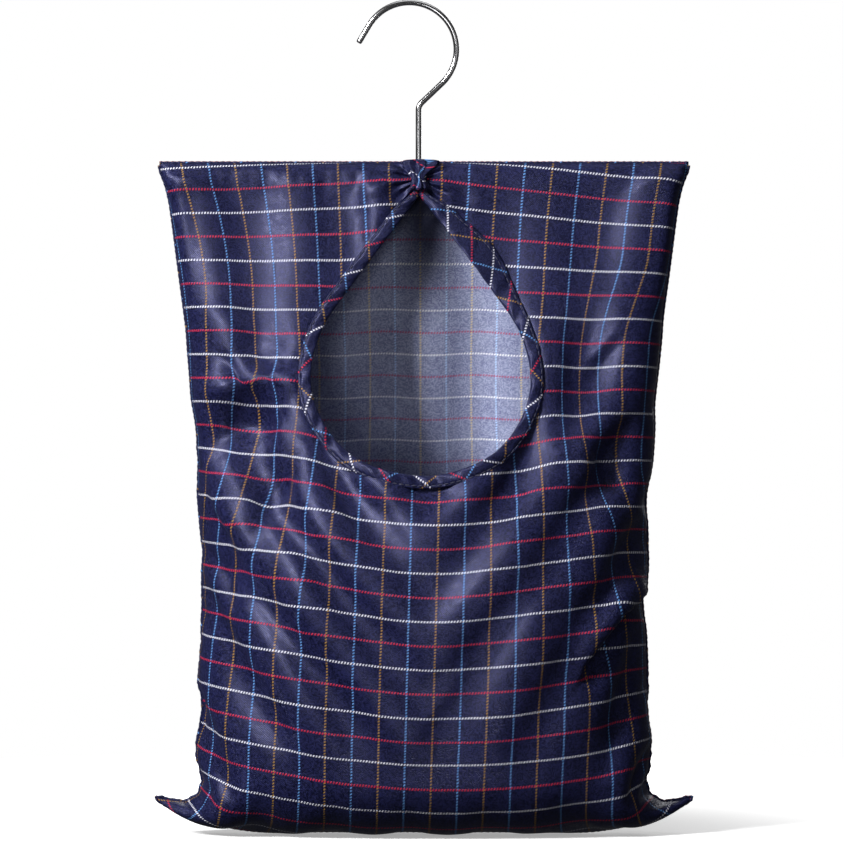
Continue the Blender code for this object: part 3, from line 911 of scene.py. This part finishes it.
class Shader:
    """A material's nodes, added by short calls."""

    def __init__(self, name, **sockets):
        self.material = bpy.data.materials.new(name)
        self.material.use_nodes = True
        self.tree = self.material.node_tree
        self.surface = self.tree.nodes["Principled BSDF"]
        for key, value in sockets.items():
            self.surface.inputs[key.replace("_", " ")].default_value = value

    def add(self, kind, *values, **settings):
        node = self.tree.nodes.new("ShaderNode" + kind)
        for key, value in settings.items():
            setattr(node, key, value)
        for k, value in enumerate(values):
            self.feed(node.inputs[k], value)
        return node

    def feed(self, socket, value):
        if value is None:
            return
        if isinstance(value, bpy.types.NodeSocket):
            self.tree.links.new(value, socket)
        else:
            socket.default_value = value

    def named(self, kind, **inputs):
        """The output of a node with these inputs; one given None keeps its own value."""
        node = self.add(kind)
        for key, value in inputs.items():
            self.feed(node.inputs[key], value)
        return node.outputs[0]

    def math(self, operation, a, b=None, clamp=False):
        return self.add("Math", a, b, operation=operation, use_clamp=clamp).outputs[0]

    def plus(self, a, b):
        return self.math("ADD", a, b)

    def times(self, a, b):
        return self.math("MULTIPLY", a, b)

    def far(self, a, b):
        return self.math("SQRT", self.plus(self.times(a, a), self.times(b, b)))

    def band(self, value, low, high, to_low=0.0, to_high=1.0):
        ends = (low, high, to_low, to_high)
        return self.add("MapRange", value, *ends, interpolation_type="SMOOTHSTEP").outputs[0]

    def mix(self, share, a, b):
        """The mix of two colours, whose sockets on this node are 6 and 7."""
        node = self.add("Mix", share, data_type="RGBA")
        self.feed(node.inputs[6], a)
        self.feed(node.inputs[7], b)
        return node.outputs[2]

    def noise(self, where, scale, detail=2.0, rough=0.5, stretch=None):
        if stretch:
            where = self.vector("MULTIPLY", where, stretch)
        return self.named("TexNoise", Vector=where, Scale=scale, Detail=detail, Roughness=rough)

    def speck(self, where, size):
        """A random number for each small cell of the cloth."""
        cell = self.vector("FLOOR", self.vector("DIVIDE", where, size))
        return self.add("TexWhiteNoise", cell, noise_dimensions="3D").outputs["Value"]

    def painted_pocket_shade(self, across, down, most):
        """Painted shade: the cloth close behind the knot is darkened because the narrow pocket there
        gets little light.
        """
        aside = self.times(self.plus(across, -0.004), 1.35)
        far = self.far(aside, self.times(down, 0.46))
        return self.band(far, 0.008, 0.040, most, 0.0)

    def gathers(self, across, down):
        """Folds running out from the knot, seen in the cloth's own flat place."""
        aside = self.plus(across, FIRST_GOLD)
        below = self.plus(down, -KNOT_DOWN)
        turn = self.math("ARCTAN2", aside, below)
        far = self.far(aside, below)
        ridge = self.math("SINE", self.times(turn, 15.0))
        wander = self.math("SINE", self.plus(self.times(turn, 8.0), self.times(far, 130.0)))
        ridge = self.plus(ridge, self.times(wander, 0.7))
        return self.times(ridge, self.band(far, 0.004, GATHER_REACH, 1.0, 0.0))

    def vector(self, operation, *values):
        return self.add("VectorMath", *values, operation=operation).outputs[0]

    def weave(self):
        where = self.add("UVMap", uv_map="Weave").outputs[0]
        parts = self.add("SeparateXYZ", where)
        return where, parts.outputs[0], parts.outputs[1]

    def object_place(self):
        return self.add("TexCoord").outputs["Object"]

    def bump(self, height, strength, distance, under=None):
        return self.named("Bump", Strength=strength, Distance=distance, Height=height, Normal=under)

    def finish(self, **links):
        for key, value in links.items():
            self.feed(self.surface.inputs[key.replace("_", " ")], value)
        return self.material


TICK = 0.00165  # one twist of the yarn
TWILL = 0.0011
LINE_HALF = 0.00066
KNOT_DOWN = 0.0006  # where the knot draws the cloth in, down from the first red line
GATHER_REACH = 0.026
THREAD_CELL = (0.00066, 0.00055, 1.0)  # the size of one speck of the woven ground
LINES = ("b4233c", "d2d2de", "94712f", "5a8cc8")
PALE_LINES = ("b85472", "ffffff", "e6d29c", "bcdcff")


def tartan(
    name,
    dark="03041a",
    light="272a56",
    lines=LINES,
    line_half=LINE_HALF,
    roughness=0.35,
    specular=0.50,
    sheen=0.05,
    speckle=0.85,
    crumpled=0.10,
    gathered=False,
    painted_shade=0.0,
):
    """Printed navy cloth crossed by twisted yarn lines: red and white along, gold and blue down."""
    s = Shader(
        name,
        Sheen_Weight=sheen,
        Sheen_Roughness=0.45,
        Sheen_Tint=colour("8a8fc8"),
        Specular_IOR_Level=specular,
        Specular_Tint=colour("b4b6e6"),
    )
    where, across, down = s.weave()
    red, white, gold, blue = (colour(c) for c in lines)
    fine = s.speck(where, THREAD_CELL)
    coarse = s.noise(where, 330.0, 2.0, 0.55)
    patches = s.noise(where, 38.0, 3.0, 0.55)
    twill = s.math("SINE", s.times(s.plus(across, down), 2 * pi / TWILL))
    fleck = s.times(s.band(fine, 0.1, 0.9), 0.66)
    fleck = s.plus(fleck, s.times(s.band(coarse, 0.35, 0.65), 0.10))
    fleck = s.plus(fleck, s.times(twill, 0.06))
    ground = s.mix(s.math("MULTIPLY", fleck, speckle, clamp=True), colour(dark), colour(light))
    ground = s.mix(s.band(patches, 0.42, 0.70, 0.0, 0.12), ground, colour(light))
    ripple = s.times(s.plus(coarse, -0.5), 0.0006)

    def line(place, pitch, first, second, crossing, half):
        """Where the lines across a place lie, broken by their yarn's twist, and their colours."""
        cell = s.math("FRACT", s.plus(s.math("DIVIDE", place, pitch), 0.5))
        off = s.times(s.plus(cell, -0.5), pitch)
        mask = s.band(s.math("ABSOLUTE", s.plus(off, ripple)), half * 0.62, half * 1.15, 1.0, 0.0)
        turn = s.math("FRACT", s.plus(s.math("DIVIDE", place, 2 * pitch), 0.25))
        which = s.math("GREATER_THAN", turn, 0.5)
        slanted = s.plus(crossing, s.times(place, 0.5))
        tick = s.band(s.math("SINE", s.times(slanted, 2 * pi / TICK)), -0.30, 0.20)
        return s.times(mask, tick), s.mix(which, first, second)

    row_mask, row_colour = line(down, ROW_LINES, red, white, across, line_half)
    column_mask, column_colour = line(across, COLUMN_LINES, gold, blue, down, line_half * 0.92)
    column_mask = s.times(column_mask, 0.95)
    shade = s.mix(row_mask, s.mix(column_mask, ground, column_colour), row_colour)
    # painted shade: the reverse cloth is darkened towards the knot in place of the pocket's shadow
    if painted_shade:
        shade = s.mix(s.painted_pocket_shade(across, down, painted_shade), shade, colour("14162a"))
    yarn = s.math("MAXIMUM", row_mask, column_mask)
    height = s.plus(s.plus(fine, s.times(yarn, 0.7)), s.times(twill, 0.22))
    soft = s.bump(s.noise(where, 62.0, 3.0, 0.55), crumpled, 0.0022)
    if gathered:
        soft = s.bump(s.gathers(across, down), 0.9, 0.0016, soft)
    normal = s.bump(height, 0.50, 0.00035, soft)
    rough = s.band(coarse, 0.3, 0.7, roughness - 0.06, roughness + 0.09)
    rough = s.plus(rough, s.times(yarn, 0.12))
    return s.finish(Base_Color=shade, Roughness=rough, Normal=normal)


front_cloth = tartan("tartan_front", gathered=True)
outer_cloth = tartan("tartan_face")
# the reverse cloth carries painted shade in the pocket behind the knot
look = dict(roughness=0.60, specular=0.3, sheen=0.08, speckle=0.55, crumpled=0.03, painted_shade=0.94)
inner_cloth = tartan("tartan_reverse", dark="757ba0", light="dce2fb", lines=PALE_LINES, **look)
look = dict(line_half=0.00060, roughness=0.38, specular=0.45, crumpled=0.20)
bias_cloth = tartan("tartan_bias", light="24274f", **look)


def thread_material():
    s = Shader("navy_thread_twist", Sheen_Weight=0.3)
    _, along, around = s.weave()
    ply = s.math("SINE", s.times(s.plus(along, s.times(around, 0.9)), 2 * pi / 0.0007))
    shade = s.mix(s.band(ply, -1, 1), colour("0c0d22"), colour("34365e"))
    return s.finish(Base_Color=shade, Roughness=0.55, Normal=s.bump(ply, 0.5, 0.0001))


def chrome_material():
    s = Shader("bright_chrome", Metallic=1.0)
    where = s.object_place()
    drawn = s.noise(where, 260.0, stretch=(6.0, 6.0, 0.6))
    rough = s.band(s.noise(where, 60.0, 3.0), 0.3, 0.75, 0.10, 0.22)
    shade = s.mix(s.band(drawn, 0.3, 0.7, 0.0, 0.35), colour("d8d8da"), colour("b4b5b8"))
    return s.finish(Base_Color=shade, Roughness=rough, Normal=s.bump(drawn, 0.10, 0.0001))


def steel_material():
    s = Shader("zinc_washer", Metallic=1.0)
    spangle = s.noise(s.object_place(), 500.0, 3.0)
    shade = s.mix(s.band(spangle, 0.3, 0.7), colour("8f9194"), colour("bfc1c4"))
    rough = s.band(spangle, 0.3, 0.7, 0.28, 0.45)
    return s.finish(Base_Color=shade, Roughness=rough, Normal=s.bump(spangle, 0.2, 0.0001))


def wood_material():
    s = Shader("planed_bar_wood")
    where = s.object_place()
    grain = s.noise(where, 240.0, 4.0, 0.6, (0.06, 1.0, 1.0))
    pores = s.noise(where, 900.0, stretch=(0.05, 1.0, 1.0))
    shade = s.mix(s.band(grain, 0.35, 0.65), colour("c79a63"), colour("8d5f33"))
    shade = s.mix(s.band(pores, 0.58, 0.70, 0.0, 0.6), shade, colour("5a3a1e"))
    rough = s.band(grain, 0.3, 0.7, 0.5, 0.68)
    return s.finish(Base_Color=shade, Roughness=rough, Normal=s.bump(pores, 0.3, 0.0003))


def floor_material():
    """Pale, with a glow that grows away from the bag so that its shadow fades out."""
    s = Shader("pale_floor", Specular_IOR_Level=0.2, Emission_Strength=1.0)
    where = s.object_place()
    far = s.add("VectorMath", where, operation="LENGTH").outputs["Value"]
    glow = s.mix(s.band(far, *GLOW_FROM_TO), (GLOW_LEAST, GLOW_LEAST, GLOW_LEAST, 1), WHITE)
    shade = s.mix(s.noise(where, 3.0), colour("f6f6f6"), colour("fafafa"))
    return s.finish(Base_Color=shade, Roughness=0.7, Emission_Color=glow)


thread = thread_material()
chrome = chrome_material()

# ---- the pieces

front, front_area = panel("bag_front", -1, front_cloth, inner_cloth)
back, back_area = panel("bag_back", 1, outer_cloth, inner_cloth)
loop = Loop()
binding, seat, proud = make_binding(loop, bias_cloth)
stitches = make_stitches(seat, proud, thread)
knot = make_knot(bias_cloth)
hook = make_hook(chrome)


SEAM_R = 0.0008
TOP_SEAM_R = 0.0009
SEAM_LIFT = 0.0006  # how far the bottom seam is held off the floor
STEM_GAP = 0.0030  # the top seam leaves this much open on each side of the hook's stem
STITCH_PITCH = 0.0034


def seam_piece(name, path, radius, *nodes):
    """A sewn edge along the panels' shared border, with the small bumps its stitches press in."""
    run = run_of(path)
    even = np.linspace(0, run[-1], int(run[-1] / 0.0012))
    radii = radius * (1 + 0.16 * np.sin(2 * pi * even / STITCH_PITCH))
    made = tube_mesh(name, at_runs(even, run, path), radii, bias_cloth, 10)
    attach(made, "bag")
    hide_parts(*nodes)
    return made


seam_left = seam_piece("seam_left", x[1:, 0], SEAM_R, "side_seam_left")
seam_right = seam_piece("seam_right", x[1:, COLUMNS], SEAM_R, "side_seam_right")
base_path = x[-1, : COLUMNS + 1] + [0, 0, SEAM_LIFT]
seam_base = seam_piece("seam_base", base_path, SEAM_R, "bottom_seam")
top_path = x[0, : COLUMNS + 1] * [1, 0, 1]
top_left, top_right = (top_path[hand * top_path[:, 0] > STEM_GAP] for hand in (-1, 1))
seam_top_left = seam_piece("seam_top_left", top_left, TOP_SEAM_R, "top_seam_left")
seam_top_right = seam_piece("seam_top_right", top_right, TOP_SEAM_R, "top_seam_right")

for piece, body, slot_name, *nodes in (
    (front, "bag", "tartan_cloth", "front_panel"),
    (back, "bag", "tartan_cloth", "back_panel"),
    (binding, "bag", "tartan_cloth", "mouth_binding"),
    (stitches, "bag", "navy_thread", "mouth_stitching"),
    (knot, "bag", "tartan_cloth", "apex_gather"),
    (hook, "hook", "chrome_wire", "hook_wire"),
):
    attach(piece, body)
    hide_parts(*nodes)

for node, material in (("hook_washer", steel_material()), ("hanger_bar", wood_material())):
    for slot in bpy.data.objects[node].material_slots:
        slot.material = material

# ---- stage, light and camera

edit = bmesh.new()
bmesh.ops.create_circle(edit, cap_ends=True, segments=96, radius=FLOOR_R)
data = bpy.data.meshes.new("stage_floor")
edit.to_mesh(data)
edit.free()
floor = new_object("stage_floor", data, floor_material())
floor.location = (0, 0, up(-FLOOR_DROP))
floor.visible_diffuse = False
floor.visible_glossy = False

# each light: its place, its size and its power, all aimed at the bag's middle
AIM = Vector((0.0, 0.0, up(0.2)))
for name, place, size, power in (
    ("key", (-1.37, -1.24, up(1.32)), (0.40, 0.6), 80),
    ("strip", (-0.55, -2.30, up(0.10)), (0.5, 0.9), 7),
    ("fill", (0.9, -2.1, up(0.5)), (1.0, 1.2), 2),
    ("top", (0.1, -0.2, up(1.7)), (1.2, 1.2), 4),
    ("behind", (0.5, 2.2, up(1.0)), (1.4, 1.4), 18),
):
    data = bpy.data.lights.new(name, "AREA")
    data.shape = "RECTANGLE"
    data.size, data.size_y = size
    data.energy = power
    light = new_object(name, data)
    light.location = place
    light.rotation_euler = (AIM - Vector(place)).to_track_quat("-Z", "Y").to_euler()

# the world lights the bag faintly, and the camera sees it white
world = bpy.data.worlds.new("studio")
bpy.context.scene.world = world
world.use_nodes = True
tree = world.node_tree
sky = tree.nodes["Background"]
seen = tree.nodes.new("ShaderNodeBackground")
either = tree.nodes.new("ShaderNodeMixShader")
ray = tree.nodes.new("ShaderNodeLightPath")
tree.links.new(ray.outputs["Is Camera Ray"], either.inputs[0])
for socket, (node, strength) in enumerate(((sky, SKY_STRENGTH), (seen, 1.0)), start=1):
    node.inputs[0].default_value = WHITE
    node.inputs[1].default_value = strength
    tree.links.new(node.outputs[0], either.inputs[socket])
tree.links.new(either.outputs[0], tree.nodes["World Output"].inputs[0])

DISTANCE = 2.5
FRAME_WIDTH = 0.4642
data = bpy.data.cameras.new("camera")
data.sensor_width = 36.0
data.lens = data.sensor_width * DISTANCE / FRAME_WIDTH
camera = new_object("camera", data)
camera.location = (0.0019, -DISTANCE, up(0.2260))
camera.rotation_euler = (pi / 2, 0, 0)
bpy.context.scene.camera = camera
bpy.context.scene.view_settings.view_transform = "Standard"
